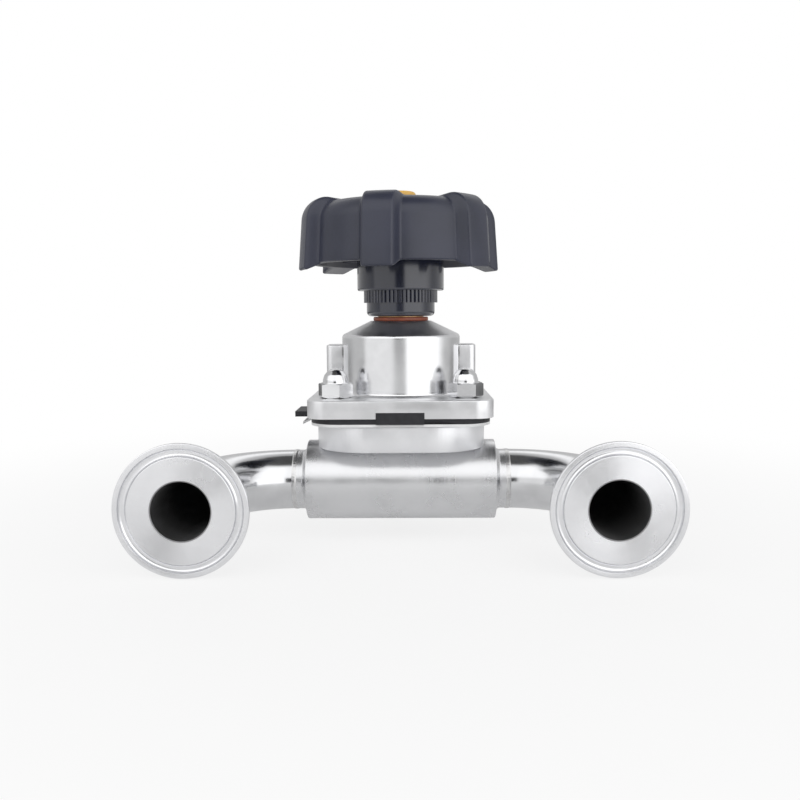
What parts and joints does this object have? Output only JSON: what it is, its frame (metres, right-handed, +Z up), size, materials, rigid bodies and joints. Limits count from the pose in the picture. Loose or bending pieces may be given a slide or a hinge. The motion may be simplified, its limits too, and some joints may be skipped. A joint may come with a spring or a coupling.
{
  "type": "three-way diaphragm valve",
  "caption": "Sanitary U-type three-way diaphragm valve: clamp ferrules on bent tubes, polished bonnet, lobed black handwheel that raises the stem and its position cap.",
  "frame": {"origin": "centre of the outline's underside, below the stem axis, on the ground that the three clamp ferrules stand on", "axes": "+Z up along the stem, +X along the run from the left to the right port, -Y the way the two run ports face"},
  "size_m": [0.2106, 0.1432, 0.1486],
  "materials": {
    "body_steel": "bright machined stainless steel",
    "bonnet_steel": "polished stainless steel",
    "tube_steel": "polished drawn stainless tube",
    "ferrule_steel": "turned stainless steel",
    "fastener_steel": "polished stainless fasteners",
    "wheel_polymer": "black moulded polymer",
    "hub_polymer": "black moulded polymer",
    "indicator_yellow": "orange yellow moulded polymer",
    "wiper_orange": "orange brown elastomer",
    "face_white": "PTFE",
    "backing_black": "black EPDM",
    "bush_bronze": "machined bronze",
    "inner_steel": "machined steel"
  },
  "bodies": {
    "housing": {"valve_body": "body_steel", "left_elbow": "tube_steel", "right_elbow": "tube_steel", "branch_tube": "tube_steel", "left_ferrule": "ferrule_steel", "right_ferrule": "ferrule_steel", "branch_ferrule": "ferrule_steel", "ptfe_face": "face_white", "rubber_backing": "backing_black", "bonnet": "bonnet_steel", "studs": "inner_steel", "cap_nuts": "fastener_steel", "bearing_retainer": "inner_steel", "thrust_washers": "bush_bronze", "bush_seal": "backing_black", "wiper_ring": "wiper_orange"},
    "wheel": {"threaded_bush": "bush_bronze", "hub_collar": "hub_polymer", "serrated_ring": "hub_polymer", "handwheel": "wheel_polymer", "hub_insert": "inner_steel", "lock_nut": "inner_steel", "wheel_cover": "wheel_polymer"},
    "stem": {"compressor": "inner_steel", "spindle": "inner_steel", "compressor_pin": "inner_steel", "diaphragm_anchor": "inner_steel", "indicator_rod": "inner_steel", "indicator_cap": "indicator_yellow"}
  },
  "joints": [
    {"name": "wheel_turn", "type": "hinge", "parent": "housing", "child": "wheel", "pos_m": [0, 0, 0.1], "axis": [0, 0, 1], "range_deg": [0, 1080]},
    {"name": "stem_rise", "type": "slide", "parent": "housing", "child": "stem", "axis": [0, 0, 1], "range_m": [0, 0.009], "deforming": ["ptfe_face", "rubber_backing"]}
  ],
  "couplings": [
    {"joint": "stem_rise", "follows": "wheel_turn", "m_per_rad": 0.00047746}
  ]
}
